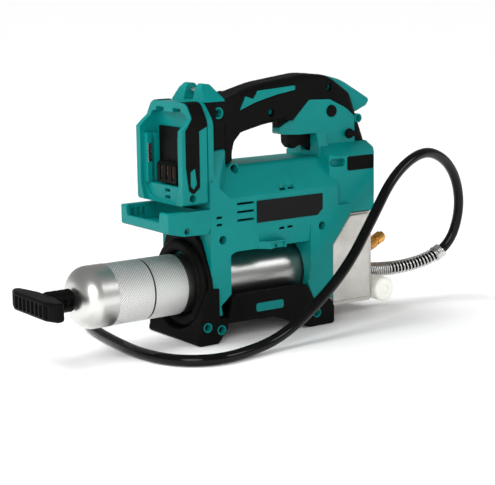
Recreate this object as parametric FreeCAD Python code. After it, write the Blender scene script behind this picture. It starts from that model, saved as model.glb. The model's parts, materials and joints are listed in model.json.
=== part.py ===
import FreeCAD, Part
import math
import os

# Battery grease gun, in millimetres. +X points to the pump head, +Z is up, Z = 0 is the floor
# under the feet, and the X and Y origin is the middle of the tool without its hose.

vec = FreeCAD.Vector

# Driving dimensions
flank = 43.0            # half width of the motor tunnel and the legs
wall = 3.0              # housing wall
column_half = 40.0      # half width of the front column
tower_half = 18.0       # half width of the switch tower and the grip
grip_core_half = 12.5   # half width of the hard core inside the grip
barrel_z = 54.0         # height of the grease barrel's axis
tube_r = 28.5
tube_bore_r = 27.0
sleeve_r = 29.6
fit = 0.05              # radial running clearance
motor_z = 139.0         # height of the motor's axis
idler_drop = 26.0       # distance from the motor axis down to the idler axis
small_teeth = 12
large_teeth = 40
gear_module = 1.0
crank_throw = 5.0
plunger_x = 122.0
plunger_r = 4.5
foot_half = 46.0
frame_half = 41.0       # half width of the battery frame

AXES = {"x": vec(1, 0, 0), "y": vec(0, 1, 0), "z": vec(0, 0, 1)}


def place(axis, a, b, depth):
    """A point of an outline drawn across the given axis."""
    if axis == "x":
        return vec(depth, a, b)
    if axis == "y":
        return vec(a, depth, b)
    return vec(a, b, depth)


def outline(points, axis, depth):
    """Closed wire of straight sides; a third number on a point rounds its corner."""
    corners = [place(axis, p[0], p[1], depth) for p in points]
    radii = [p[2] if len(p) > 2 else 0.0 for p in points]
    starts = []
    ends = []
    arcs = []
    for i, corner in enumerate(corners):
        before = (corners[i - 1] - corner).normalize()
        after = (corners[(i + 1) % len(corners)] - corner).normalize()
        if radii[i] == 0.0:
            starts.append(corner)
            ends.append(corner)
            arcs.append(None)
            continue
        half = before.getAngle(after) / 2
        reach = radii[i] / math.tan(half)
        middle = (before + after).normalize()
        nearest = corner + middle * (radii[i] / math.sin(half) - radii[i])
        starts.append(corner + before * reach)
        ends.append(corner + after * reach)
        arcs.append(Part.Arc(starts[i], nearest, ends[i]).toShape())
    edges = []
    for i in range(len(corners)):
        if arcs[i]:
            edges.append(arcs[i])
        following = starts[(i + 1) % len(corners)]
        if (following - ends[i]).Length > 1e-6:
            edges.append(Part.LineSegment(ends[i], following).toShape())
    return Part.Wire(edges)


def prism(axis, low, high, points):
    """Outline drawn across an axis and pushed along it from low to high."""
    face = Part.Face(outline(points, axis, low))
    return face.extrude(AXES[axis] * (high - low))


def mirrored(points):
    """Half outline on the negative side, completed with its mirror image."""
    other = [(-p[0],) + tuple(p[1:]) for p in reversed(points)]
    return list(points) + other


def box(x, y, z):
    return Part.makeBox(x[1] - x[0], y[1] - y[0], z[1] - z[0], vec(x[0], y[0], z[0]))


def rod(axis, start, end, radius, a, b):
    """Cylinder along an axis; a and b are its place across that axis."""
    return Part.makeCylinder(radius, end - start, place(axis, a, b, start), AXES[axis])


def ring(axis, start, end, outer, inner, a, b):
    return rod(axis, start, end, outer, a, b).cut(rod(axis, start - 1, end + 1, inner, a, b))


def cone(start, end, r_start, r_end, y, z):
    return Part.makeCone(r_start, r_end, end - start, vec(start, y, z), AXES["x"])


def fuse(*shapes):
    whole = shapes[0]
    for shape in shapes[1:]:
        whole = whole.fuse(shape)
    return whole.removeSplitter()


def cut(shape, *tools):
    for tool in tools:
        shape = shape.cut(tool)
    return shape


def both_sides(make):
    """The same piece made on the near (-1) and the far (+1) side."""
    return [make(-1), make(1)]


def span(side, inner, outer):
    """Y range between two distances from the middle plane, on one side."""
    return (inner, outer) if side > 0 else (-outer, -inner)


def rounded(shape, radius, chosen):
    """Rounds the chosen edges, or leaves the shape sharp where the kernel can't."""
    edges = [e for e in shape.Edges if chosen(e.BoundBox, e)]
    try:
        result = shape.makeFillet(radius, edges)
        if result.isValid() and result.Volume > 0.8 * shape.Volume:
            return result
    except Exception:
        pass
    print("left sharp", radius, len(edges))
    return shape


def export(name, shape):
    solids = shape.Solids
    body = solids[0] if len(solids) == 1 else Part.Compound(solids)
    bad = [s for s in solids if not s.isValid()]
    print(name, len(solids), round(body.Volume / 1000, 2), "cm3", "BAD" if bad or not solids else "")
    body.exportStep("parts/" + name + ".step")


# ---------------------------------------------------------------- outlines seen from the side

grip_beam = [(0, 183), (16, 197, 30), (46, 203.5, 60), (70, 206.5), (70, 197), (78, 195),
             (175.5, 165), (175.5, 178), (163.5, 209, 4), (156, 229, 8), (128, 248.5, 40), (100, 251, 60),
             (45, 244.5, 120), (14, 236.5, 40), (0, 232)]
strut_front = [(-32, 184.5), (-21, 182), (-18.5, 172.5), (6, 168.2), (6, 179), (9, 190, 12),
               (16, 197), (16, 237), (6, 234, 20), (-8, 231), (-32, 231)]
beak = [(100, 240), (100, 247), (118, 250.5, 60), (150, 242, 60), (188, 220, 3.5), (183, 213.5, 3),
        (164, 206), (150, 205)]
teal_tower = [(110, 160), (110, 191, 2), (74.5, 191, 2), (70, 195.5, 1), (70, 196), (78, 203, 3),
              (101, 225, 4), (127, 224, 8), (148, 214, 30), (159, 205, 3), (160, 160)]
tower_plan = [(71.5, -6, 4), (88, -18, 12), (200, -18), (200, 18), (88, 18, 12), (71.5, 6, 4)]
grip_core = [(-29, 160), (-29, 226, 4), (10, 226, 20), (46, 235, 60), (105, 245, 40),
             (130, 241.5, 16), (152, 224), (152, 200), (100, 200), (66, 214, 3), (46, 212, 20),
             (14, 206, 10), (-1, 194, 8), (-1, 160)]
inlay = [(16, 220), (23, 233, 1), (32, 230, 1), (38, 237.5, 1), (83, 240.5, 1), (83, 236, 1),
         (60, 232.5, 60), (36, 227, 60)]
rear_leg = [(-37, 100), (-37, 28), (-25, 26, 2), (-13, 48, 8), (-8, 66, 20), (-6, 100)]
front_leg = [(83, 100), (83, 60, 20), (79, 45, 6), (86, 28, 4), (90, 26), (111, 26), (111, 80), (134, 110),
             (134, 120), (83, 120)]
window = [(-14, 84, 2), (-9, 86.5, 3), (70, 86.5, 9), (81, 70, 12), (81, 48, 4), (74, 40), (74, 10),
          (-22, 10), (-26, 36), (-14, 46, 2)]


def housing_outer():
    """Everything the two hard shells fill before they are hollowed."""
    tunnel = prism("x", -34, 118, mirrored([(-41, 87), (-flank, 106, 1), (-flank, 139, 2), (-22, 168, 8)]))
    cheek = prism("y", -flank, flank, [(-37, 87), (-37, 157), (-34, 157), (-12, 139, 3), (20, 137),
                                       (20, 87)])
    column = prism("x", -34, -10, mirrored([(-flank, 90), (-flank, 157, 2), (-29, 185, 3)]))
    column = column.common(prism("z", 0, 260, [(-34, -43), (-26, -43), (-6, -26), (-6, 26),
                                               (-26, 43), (-34, 43)]))
    front = prism("x", 112, 174, mirrored([(-column_half, 70), (-column_half, 168, 2), (-tower_half, 179)]))
    front = front.common(prism("z", 0, 260, [(112, -36), (121, -column_half, 4), (167, -column_half, 3),
                                             (174, -30, 5), (174, 30, 5), (167, column_half, 3),
                                             (121, column_half, 4), (112, 36)]))
    front = front.cut(prism("y", -60, 60, [(111, 60), (111, 80), (134.5, 110), (180, 110), (180, 60)]))
    legs = fuse(prism("y", -flank, flank, rear_leg), prism("y", -flank, flank, front_leg))
    flange = prism("x", -37, -31, mirrored([(-41.5, 131, 3), (-41.5, 214, 14), (-26, 231.5, 10)]))
    ears = prism("y", -33, 33, [(-34, 222), (-29, 243, 4), (-25, 248, 4), (-18, 247, 3), (-9, 233),
                                (-9, 222)])
    ears = ears.common(prism("x", -40, 0, mirrored([(-12, 222), (-12, 231), (-29.5, 231), (-15, 249)])))
    ears = ears.cut(box((-60, 0), (-8, 8), (232, 260)))
    core = prism("y", -grip_core_half, grip_core_half, grip_core)
    tower = prism("y", -tower_half, tower_half, teal_tower).common(prism("z", 0, 260, tower_plan))
    pedestal = prism("x", 110, 122, mirrored([(-22, 160), (-22, 176, 3), (-tower_half, 190)]))
    nose = prism("y", -9, 9, beak)
    nose = rounded(nose, 3.0, lambda b, e: abs(b.YMax - b.YMin) < 0.01 and b.XMax > 118.5 and b.ZMin > 207)
    parts = both_sides(clip_block)
    parts += [rod("y", *span(side, 11, 29), 5.6, *strut_screw) for side in (-1, 1)]
    parts += [rod("y", *span(side, 11, 18.8), 4.6, *strip_screw) for side in (-1, 1)]
    return fuse(tunnel, cheek, column, front, legs, flange, ears, core, tower, pedestal, nose, *parts)


def housing_hollow():
    """Room inside the shells for the motor, gears, switch and head."""
    tunnel = prism("x", -31, 120, mirrored([(-38, 90), (-flank + wall, 106), (-flank + wall, 138),
                                            (-21, 165)]))
    front = prism("x", 115, 171, mirrored([(-column_half + wall, 88), (-column_half + wall, 166.5),
                                           (-15, 178)]))
    front = front.common(prism("z", 0, 260, [(115, -34), (123, -37), (165, -37), (171, -28),
                                             (171, 28), (165, 37), (123, 37), (115, 34)]))
    under = box((-34, 86), (-flank + wall, flank - wall), (10, 87))
    socket = box((86, 180), (-flank + wall, flank - wall), (10, 92))
    strut = box((-26, -4), (-10, 10), (150, 223))
    tower = prism("y", -15, 15, [(114, 160), (114, 168), (128, 170), (128, 194), (104, 200),
                                 (104, 221), (126, 221), (147, 211), (156, 203), (157, 160)])
    grip = prism("y", -9.5, 9.5, [(-10, 205), (-10, 222), (10, 222), (46, 230.5), (105, 237),
                                  (105, 214), (66, 217), (46, 215), (12, 209)])
    return fuse(tunnel, front, under, socket, strut, tower, grip)


# Places of the screws: x, z and how far the boss mouth is from the middle plane
screw_places = [(-23, 100, flank), (97, 101, flank), (4, 164.5, 24), (126, 236.5, tower_half)]
buried = {(126, 236.5): grip_core_half}      # a boss that ends under the soft cover
boss_r = 5.8
head_depth = 10.0       # from the boss mouth down to the underside of the screw's head
strut_screw = (-16.5, 220)
strip_screw = (163.5, 202.5)
grip_screw = (54, 215)


def vents(side):
    """Cooling slots through one flank."""
    y = span(side, flank - 6, flank + 2)
    slots = [box((-6, 14), y, (z, z + 2.2)) for z in (116, 124, 132)]
    thin = span(side, flank - 6, flank - 1.2)
    for x, z in ((-30, 121), (-30, 114), (47, 143), (57, 143.4), (44, 103), (54, 103.4)):
        slots += [box((x, x + 6.5), y, (z, z + 2.2)), box((x - 0.5, x + 7.5), thin, (z - 2, z + 4.2))]
    return slots


def housing():
    shell = housing_outer().cut(housing_hollow())
    bulkhead = prism("x", 83, 86, mirrored([(-flank + wall, 26), (-flank + wall, 90)]))
    rear_wall = prism("x", -37, -34, mirrored([(-flank, 50), (-flank, 100)]))
    shell = fuse(shell, bulkhead, rear_wall)
    shell = shell.cut(rod("x", -60, 90, 31.0, 0, barrel_z))
    shell = shell.cut(prism("y", -60, 60, window))
    shell = shell.cut(box((-60, 100), (-60, 60), (0, 25.9)))
    bosses = []
    holes = []
    for x, z, mouth in screw_places:
        for side in (-1, 1):
            y = span(side, mouth - 16, min(mouth - 0.5, buried.get((x, z), mouth)))
            bosses.append(rod("y", y[0], y[1], boss_r, x, z))
            y = span(side, mouth - head_depth, mouth + 12)
            holes.append(rod("y", y[0], y[1], 4.2, x, z))
            y = span(side, mouth - 20, mouth)
            holes.append(rod("y", y[0], y[1], 1.9, x, z))
    shell = fuse(shell, *bosses)
    shell = cut(shell, rod("x", 1, 59, 23.4, 0, motor_z), *holes)
    for side in (-1, 1):
        shell = cut(shell, *vents(side))
        shell = shell.cut(clip_pocket(side))
        y = span(side, 31.5, 38)
        shell = shell.fuse(box((112.6, 131), y, (155, 169)).common(housing_outer()))
        y = span(side, 33, 45)
        shell = shell.cut(prism("y", y[0], y[1], [(112.5, 158, 3.9), (112.5, 166, 3.9),
                                                  (129, 166, 3.9), (129, 158, 3.9)]))
        shell = shell.cut(rod("y", *span(side, 18, 32), 4.2, *strut_screw))
        shell = shell.cut(rod("y", *span(side, 14, 20), 3.4, *strip_screw))
    shell = cut(shell, rod("y", -60, 60, 1.9, *strut_screw), rod("y", -60, 60, 1.9, *grip_screw))
    shell = shell.cut(rod("y", -30, 30, 6.0 + fit, *lock_place))
    shell = shell.cut(rod("y", -tower_half - 1, -tower_half + 4, 5.0 + fit, *selector_place))
    shell = shell.cut(trigger_pocket())
    shell = shell.cut(rod("y", -16, 16, 2.0, *trigger_pivot))
    shell = shell.cut(box((-40, -25.5), (-22, 22), (148, 205)))
    shell = shell.cut(rod("y", -15, 15, 2.5, *strap_place))
    right = shell.common(box((-200, 300), (-100, 0), (-10, 300)))
    left = shell.common(box((-200, 300), (0, 100), (-10, 300)))
    return right, left


# ---------------------------------------------------------------- places used by several pieces

lock_place = (129, 212)
selector_place = (152, 187.5)
trigger_pivot = (120, 191)
strap_place = (-23, 241)
outlet_z = 39.0
bleeder_root = (170, -5, 56)
bleeder_tilt = 25.0
cap_place = (188, 22)
clip_x = (17, 27, 47)


def trigger_pocket():
    return prism("y", -7.6, 7.6, [(79.5, 172), (79.5, 206, 3), (104, 207.5, 3), (128, 200),
                                  (128, 183), (118.5, 181), (118.5, 172)])


def clip_block(side):
    """Raised socket on the flank that takes a hose clip."""
    y = [side * d for d in (41, 51)]
    base, start, end = clip_x
    return prism("z", 82.5, 94, [(base, y[0]), (start, y[1], 1), (end, y[1], 1), (end, y[0])])


def clip_pocket(side):
    y = span(side, 48.5, 52)
    deep = span(side, 44, 52)
    return fuse(box((clip_x[1] + 3.5, clip_x[2] - 2), y, (84.5, 92.5)),
                rod("y", deep[0], deep[1], 1.6, 36, 88.5))


def battery_shape(half, top, corner):
    """Outline of the battery frame seen from behind."""
    return mirrored([(-half, 136, 4), (-half, 215, 20), (-half + 11, top, corner)])


def battery_frame():
    block = prism("x", -66, -38, battery_shape(frame_half, 231.5, 11))
    slope = prism("y", -60, 60, [(-70, 206), (-66, 206.5), (-54.5, 217), (-54.5, 240), (-70, 240)])
    pocket = prism("x", -70, -47, [(-29, 136.5), (-34, 150), (-34, 211, 3), (-31, 222, 8), (31, 222, 8),
                                   (34, 211, 3), (34, 150), (29, 136.5)])
    lead_in = prism("x", -70, -60, mirrored([(-18, 138, 12), (-32, 146, 8), (-32, 170)]))
    floor = box((-62, -47), (-35, 35), (135, 152))
    neck = box((-40, -32), (-21, 21), (150, 203))
    frame = fuse(cut(block, slope, pocket), floor.common(block), neck)
    frame = cut(frame, lead_in)
    rails = [box((-62, -47), span(side, 27, 34.5), (152, 200)) for side in (-1, 1)]
    frame = fuse(frame, *rails)
    grooves = [box((-57, -53.5), span(side, 26, 31), (151, 201)) for side in (-1, 1)]
    latches = [box((-56, -46), (y, y + 14), (222, 226)) for y in (-22, 8)]
    slots = [box((-63, -55), (-9, 0), (z, z + 3)) for z in (139.5, 146)]
    frame = cut(frame, *(grooves + latches + slots))
    frame = cut(frame, box((-48, -30), (-18, 18), (153, 200)))
    for side in (-1, 1):
        y = span(side, frame_half - 12, frame_half + 1)
        frame = frame.cut(rod("y", y[0], y[1], 3.6, -55, 143))
        frame = frame.cut(frame_pad(side, 0.0))
    return frame


def frame_pad(side, proud):
    """Rubber let into the side and over the top corner of the battery frame."""
    y = span(side, 20, frame_half + proud)
    side_view = [(-62, 207), (-62, 172, 3), (-59, 150, 4), (-54, 147, 2), (-47, 153, 2), (-47, 206),
                 (-38, 210), (-38, 240), (-53, 240), (-53, 218.5)]
    skin = prism("x", -66, -38, battery_shape(frame_half + proud, 231.5 + proud, 11))
    skin = skin.cut(prism("x", -67, -37, battery_shape(frame_half - 2.5, 229, 9)))
    strip = prism("y", -60, 60, [(-57.5, 155), (-57.5, 168), (-52, 172), (-50, 156), (-54, 151)])
    return skin.common(prism("y", y[0], y[1], side_view)).cut(strip)


def battery_guard():
    body = prism("y", -flank, flank, [(-84, 131, 1.5), (-84, 112, 3), (-66, 108, 12), (-37, 107),
                                      (-37, 131)])
    body = body.common(prism("x", -90, -30, mirrored([(-flank + 4, 100), (-flank, 113, 2), (-flank, 140)])))
    recess = prism("y", -36, 36, [(-80.5, 140), (-80.5, 119, 1), (-62, 116), (-48, 116), (-48, 140)])
    mouth = prism("x", -90, -76, [(-29, 140), (-26, 121, 2), (32, 121, 2), (35, 140)])
    under = box((-80, -40), (-36, 36), (100, 113))
    pockets = [box((x, x + 3), (35, 38.5), (119.5, 127)) for x in (-76, -70, -64)]
    body = cut(body, recess, mouth, under, *pockets)
    for side in (-1, 1):
        y = span(side, flank - 9, flank + 1)
        body = body.cut(rod("y", y[0], y[1], 3.3, -63, 112.8))
    return body


blade_places = (-10, 0, 10)


def terminal_block():
    block = box((-47, -34), (-17.5, 17.5), (153.5, 199.5))
    face = box((-50, -47), (-24.5, 24.5), (152.2, 207))
    tongue = prism("y", -17, 17, [(-58, 154), (-58, 171, 1), (-55, 174), (-50, 174), (-50, 154)])
    slots = [box((-59, -51), (y - 1.6, y + 1.6), (157, 171)) for y in blade_places]
    return cut(fuse(block, face, tongue), *slots)


def terminal_blades():
    return Part.Compound([box((-57, -51), (y - 0.5, y + 0.5), (158.5, 170)) for y in blade_places])


def rail_clips():
    """Thin steel strips on the inner faces of the battery rails."""
    return Part.Compound([box((-61.6, -57.2), span(side, 26.6, 27), (172, 190)) for side in (-1, 1)])


def handle_rubber(hard):
    """Soft cover over the grip, the top of the tower and the rear strut."""
    beam = prism("y", -18.5, 18.5, grip_beam)

    def top_edge(b, e):
        return abs(b.YMax - b.YMin) < 0.01 and b.ZMin > 228 and b.XMax < 160

    def under_edge(b, e):
        return abs(b.YMax - b.YMin) < 0.01 and b.ZMax < 207 and b.ZMin > 182 and b.XMax < 70.01

    beam = beam.makeChamfer(4.0, [e for e in beam.Edges if under_edge(e.BoundBox, e)])
    beam = rounded(beam, 9.0, top_edge)
    strut = prism("z", 166, 240, [(-31, -30, 2), (-21, -30, 5), (6, -18.5, 12), (17, -18.5), (17, 18.5),
                                  (6, 18.5, 12), (-21, 30, 5), (-31, 30, 2)])
    strut = strut.common(prism("y", -40, 40, strut_front))
    beam = beam.cut(box((-40, 15.9), (-40, 40), (150, 260)))
    chin = box((60, 90), (-30, 30), (185, 205.5)).cut(prism("z", 180, 210, tower_plan))
    beam = beam.cut(chin)
    cover = beam.fuse(strut)
    for z in (182, 198):
        for side in (-1, 1):
            cover = cover.cut(box((-6, -3.6), span(side, 20.8, 30), (z, z + 11)))
    cover = cover.cut(prism("y", -tower_half - 5, tower_half + 5, teal_tower))
    cover = cover.cut(prism("y", -30, 30, [(60, 150), (60, 191), (126.5, 191), (159.9, 191), (159.9, 150)]))
    cover = cut(cover, trigger_pocket(), *[rod("y", *span(side, 11, 20), 3.8, x, z)
                                           for side in (-1, 1) for x, z in (grip_screw, (126, 236.5))])
    cover = cut(cover, rod("y", -24, 24, boss_r + 0.1, 4, 164.5),
                rod("y", -12.6, 12.6, boss_r + 0.1, 126, 236.5))
    return cover.cut(hard)


def grip_inlays(cover_outer):
    pieces = []
    for side in (-1, 1):
        y = span(side, 14.5, 19)
        pieces += cover_outer.common(prism("y", y[0], y[1], inlay)).Solids
    return Part.Compound(pieces)


def rear_foot(hard):
    block = prism("y", -foot_half, foot_half, [(-55, 0, 2), (-31, 0, 2), (-20, 14, 3), (-20, 24), (-30, 24),
                                               (-30, 54), (-45, 54, 2)])
    surround = prism("x", -42, -37, mirrored([(-foot_half, 20), (-foot_half, 62, 12), (-30, 97, 8),
                                              (-22, 105)]))
    block = fuse(block, surround)
    block = cut(block, rod("x", -70, 0, 31.5, 0, barrel_z), box((-36, 0), (-40, 40), (24, 110)))
    block = cut(block, box((-50, -26), (-30, 30), (-1, 3)), rod("x", -70, -42, 43.6, 0, barrel_z))
    return cut(block, hard, *boss_rods())


def collar_ring():
    """Soft lip round the barrel where it leaves the housing."""
    lip = ring("x", -48, -42, 43.5, 31.5, 0, barrel_z)
    edges = [e for e in lip.Edges if e.BoundBox.XMax < -47.9]
    return lip.makeFillet(4.5, edges)


def base_cradle(hard):
    rail = [(-20, 18), (-14, 45, 3), (75, 45, 4), (84, 30), (86, 26), (105, 26), (110, 20, 3), (110, 0, 2),
            (78, 0, 4), (62, 7, 8), (36, 17, 8)]
    sides = prism("y", -foot_half, foot_half, rail)
    sides = sides.cut(box((-30, 84.5), (-40, 40), (24, 60)))
    sides = sides.cut(box((84.4, 130), (-50, 50), (14, 60)).cut(prism("y", -60, -40, rail)).cut(
        prism("y", 40, 60, rail)))
    sides = cut(sides, rod("x", -70, 85, 31.5, 0, barrel_z))
    for side in (-1, 1):
        sides = sides.cut(base_badge(side, 0.0))
    sides = sides.cut(box((-15, 84), (-36, 36), (10, 20.5)))
    return cut(sides, hard, *boss_rods())


def base_badge(side, proud):
    y = span(side, foot_half - 1.2, foot_half + proud)
    return prism("y", y[0], y[1], [(13, 25, 2.5), (13, 33.5, 2.5), (46, 33.5, 2.5), (46, 25, 2.5)])


boss_places = [(-44, 17.5), (-28, 13), (88, 13.5)]


def boss_rods():
    rods = []
    for x, z in boss_places:
        for side in (-1, 1):
            y = span(side, foot_half - 12, foot_half + 1)
            rods.append(rod("y", y[0], y[1], 4.8, x, z))
    return rods


def foot_bosses():
    bosses = []
    for x, z in boss_places:
        for side in (-1, 1):
            y = span(side, foot_half - 12, foot_half + 0.2)
            deep = span(side, foot_half - 9, foot_half + 1)
            boss = rod("y", y[0], y[1], 4.8, x, z).cut(rod("y", deep[0], deep[1], 3.7, x, z))
            deep = span(side, foot_half - 11.5, foot_half - 8)
            bosses.append(boss.cut(rod("y", deep[0], deep[1], 1.9, x, z)))
    return Part.Compound(bosses)


def screw(side, mouth, x, z, length):
    """Pan-head screw sunk into its boss."""
    under_head = mouth - head_depth
    head = span(side, under_head, under_head + 2.6)
    shank = span(side, under_head - length, under_head)
    body = fuse(rod("y", head[0], head[1], 3.6, x, z), rod("y", shank[0], shank[1], 1.8, x, z))
    slot = span(side, under_head + 1.2, under_head + 3)
    return cut(body, box((x - 2, x + 2), slot, (z - 0.4, z + 0.4)),
               box((x - 0.4, x + 0.4), slot, (z - 2, z + 2)))


def housing_screws():
    screws = [screw(side, mouth, x, z, 7) for x, z, mouth in screw_places for side in (-1, 1)]
    screws += [screw(side, foot_half + 1, x, z, 2) for x, z in boss_places for side in (-1, 1)]
    return Part.Compound(screws)


def pump_head():
    side_view = [(112, 15, 3), (112, 81), (135, 108.5), (174, 108.5), (174, 66), (174, 15, 4)]
    plan = [(86.5, -37), (163, -37, 2), (174, -27, 2), (174, 27, 2), (163, 37, 2), (86.5, 37)]
    body = prism("y", -37, 37, side_view).common(prism("z", 0, 200, plan))
    plate = [(113.5, 19, 2), (113.5, 79, 3), (136, 107, 2), (161.5, 107, 2), (161.5, 19, 2)]
    for side in (-1, 1):
        y = span(side, 36, 39.5)
        raised = prism("y", y[0], y[1], plate)
        outer = 39.5 * side
        raised = rounded(raised, 1.4, lambda b, e: abs(b.YMin - outer) < 0.01 and abs(b.YMax - outer) < 0.01)
        body = body.fuse(raised)
    socket = rod("x", 87, 120, 36.0, 0, barrel_z)
    gland = rod("z", 80, 113, 9.0, plunger_x, 0)
    body = fuse(body, socket, gland)
    body = cut(body, rod("x", 80, 111, tube_r + fit, 0, barrel_z),
               rod("x", 110, plunger_x, 6.0, 0, barrel_z),
               rod("z", 34, 120, plunger_r + fit, plunger_x, 0),
               rod("x", plunger_x, 180, 3.0, 0, outlet_z), rod("x", 136, 180, 6.0, 0, outlet_z),
               bleeder_bore(3.0 + fit), rod("x", 164, 180, 4.0, -2, cap_place[1]))
    return body


def bleeder_turn(shape):
    shape.rotate(vec(*bleeder_root), vec(0, 1, 0), -bleeder_tilt)
    return shape


def bleeder_bore(radius):
    x, y, z = bleeder_root
    return bleeder_turn(rod("x", x - 14, x + 60, radius, y, z))


def bleeder_valve():
    x, y, z = bleeder_root
    shank = rod("x", x - 12, x + 14, 3.0, y, z)
    neck = rod("x", x + 14, x + 20, 4.5, y, z)
    barrel = rod("x", x + 20, x + 28, 6.4, y, z)
    waist = rod("x", x + 28, x + 31, 5.0, y, z)
    knob = rod("x", x + 31, x + 39, 6.2, y, z)
    tip = rod("x", x + 39, x + 42.1, 4.5, y, z)
    knurls = []
    for i in range(16):
        turn = math.radians(i * 22.5)
        knurls.append(rod("x", x + 19, x + 29, 0.5, y + 6.5 * math.cos(turn), z + 6.5 * math.sin(turn)))
    body = fuse(shank, neck, barrel, waist, knob, tip)
    body = cut(body, *knurls)
    return bleeder_turn(body.cut(rod("x", x + 30, x + 43, 1.4, y, z)))


def hexagon(x0, x1, flats, y, z):
    reach = flats / math.sqrt(3)
    points = [(y + reach * math.cos(math.radians(a)), z + reach * math.sin(math.radians(a)))
              for a in range(0, 360, 60)]
    return prism("x", x0, x1, points)


def outlet_fitting():
    """Threaded adaptor between the pump head and the hose."""
    body = fuse(rod("x", 163, 175, 5.8, 0, outlet_z), hexagon(174.2, 181, 13.5, 0, outlet_z))
    return body.cut(rod("x", 160, 190, 2.0, 0, outlet_z))


def check_valve():
    ball = Part.makeSphere(4.0, vec(141.2, 0, outlet_z))
    turns = [ring("x", 146 + 3.6 * i, 147.2 + 3.6 * i, 4.6, 3.4, 0, outlet_z) for i in range(5)]
    back = box((146.2, 161.4), (-4.4, -3.6), (outlet_z - 0.6, outlet_z + 0.6))
    return ball, fuse(back, *turns)


def filler_port():
    """Steel elbow on the front of the head, its nipple pointing to the near side."""
    x, z = cap_place
    stub = rod("x", 166, 175, 3.9, -2, z)
    elbow = fuse(stub, box((174.2, x + 7), (-9, 5), (z - 7, z + 6)))
    return fuse(elbow, rod("y", -28, -9, 4.6, x, z))


def port_cap():
    x, z = cap_place
    cap = rod("y", -34, -11, 12.6, x, z)
    edges = [e for e in cap.Edges if e.BoundBox.YMax < -33.9]
    cap = cap.makeFillet(3.0, edges)
    dimple = rod("y", -35, -32.8, 4.0, x, z)
    return cut(cap, dimple, rod("y", -30, -10, 4.6 + fit, x, z))


def barrel_tube():
    tube = rod("x", -130, 110.7, tube_r, 0, barrel_z)
    sleeve = fuse(rod("x", -130, -92.2, sleeve_r, 0, barrel_z), rod("x", -90.2, -54, sleeve_r, 0, barrel_z))
    return cut(fuse(tube, sleeve), rod("x", -131, 120, tube_bore_r, 0, barrel_z))


def end_cap():
    """Domed cap that closes the barrel and guides the follower rod."""
    dome = [vec(-130, 0, barrel_z), vec(-130, 0, barrel_z + 30), vec(-147, 0, barrel_z + 30),
            vec(-160, 0, barrel_z + 24), vec(-164.6, 0, barrel_z + 11), vec(-165, 0, barrel_z)]
    arc = Part.Arc(dome[2], dome[3], dome[4]).toShape()
    lines = [Part.LineSegment(dome[i], dome[j]).toShape() for i, j in ((0, 1), (1, 2), (4, 5), (5, 0))]
    face = Part.Face(Part.Wire([lines[0], lines[1], arc, lines[2], lines[3]]))
    body = face.revolve(vec(0, 0, barrel_z), AXES["x"], 360)
    spigot = rod("x", -130, -126, tube_bore_r - fit, 0, barrel_z)
    body = fuse(body, spigot)
    inside = rod("x", -158, -120, 22.0, 0, barrel_z)
    return cut(body, inside, rod("x", -170, -150, 3.0 + fit, 0, barrel_z))


def follower_rod():
    return rod("x", -196, 62, 3.0, 0, barrel_z)


def follower_plate():
    plate = fuse(rod("x", 60, 63, 25.5, 0, barrel_z), rod("x", 54, 60, 7.0, 0, barrel_z))
    return plate.cut(rod("x", 50, 62, 3.0, 0, barrel_z))


def follower_seal():
    """Rubber cup that wipes the barrel."""
    cup = fuse(rod("x", 63, 70, tube_bore_r - fit, 0, barrel_z),
               cone(70, 74, tube_bore_r - fit, 20, 0, barrel_z))
    return cup


def coil(start, end, turns, mean, wire, y, z):
    """Compression spring shown as joined round turns."""
    pitch = (end - start) / turns
    rings = [ring("x", start + pitch * i, start + pitch * i + wire, mean + wire / 2, mean - wire / 2, y, z)
             for i in range(turns + 1)]
    back = box((start + wire / 2, end + wire / 2), (y - wire / 2, y + wire / 2),
               (z + mean - wire / 2, z + mean + wire / 2))
    return fuse(back, *rings)


def tee_handle():
    neck = cut(rod("x", -191, -167, 11.0, 0, barrel_z), rod("x", -192, -160, 3.0, 0, barrel_z))
    for turn in (0, 90):
        slot = fuse(*[box((x, x + 4), (-12, 12),
                          (barrel_z - 3.6, barrel_z + 3.6)) for x in (-187, -180, -173)])
        core = rod("x", -190, -168, 7.5, 0, barrel_z)
        slot = slot.cut(core)
        slot.rotate(vec(0, 0, barrel_z), AXES["x"], turn)
        neck = neck.cut(slot)
    bar = prism("z", barrel_z - 9, barrel_z + 9, [(-190, -16), (-196, -44, 4), (-204, -45, 4),
                                                  (-210, -30, 10), (-210, 30, 10), (-204, 45, 4),
                                                  (-196, 44, 4), (-190, 16)])
    bar = rounded(bar, 3.0, lambda b, e: abs(b.ZMax - b.ZMin) < 0.01)
    bar = bar.cut(rod("x", -196, -180, 3.0, 0, barrel_z))
    flutes = [box((-212, -207.5), (y - 2.6, y + 2.6),
                  (barrel_z - 6, barrel_z + 6)) for y in range(-32, 33, 8)]
    return cut(fuse(neck, bar), *flutes)


def trigger():
    body = prism("y", -7.0, 7.0, [(82, 198, 2), (83, 181, 4), (88.5, 175, 4), (104, 181.5, 3), (107, 176, 2),
                                  (112, 174, 2), (116.5, 175, 2), (117, 184), (124, 184, 3), (125, 194.5, 3),
                                  (110, 197, 4)])
    body = rounded(body, 1.5, lambda b, e: abs(b.YMax - b.YMin) < 0.01 and b.ZMin < 187)
    return body.cut(rod("y", -20, 20, 2.0 + fit, *trigger_pivot))


def trigger_pin():
    return rod("y", -16, 16, 2.0, *trigger_pivot)


def lock_button():
    heads = [rod("y", *span(side, 13.5, 20), 6.0, *lock_place) for side in (-1, 1)]
    edges = lambda b, e: abs(abs(b.YMin) - 20) < 0.01 and abs(b.YMax - b.YMin) < 0.01
    return rounded(fuse(heads[0], heads[1], rod("y", -14, 14, 4.0, *lock_place)), 1.0, edges)


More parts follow.
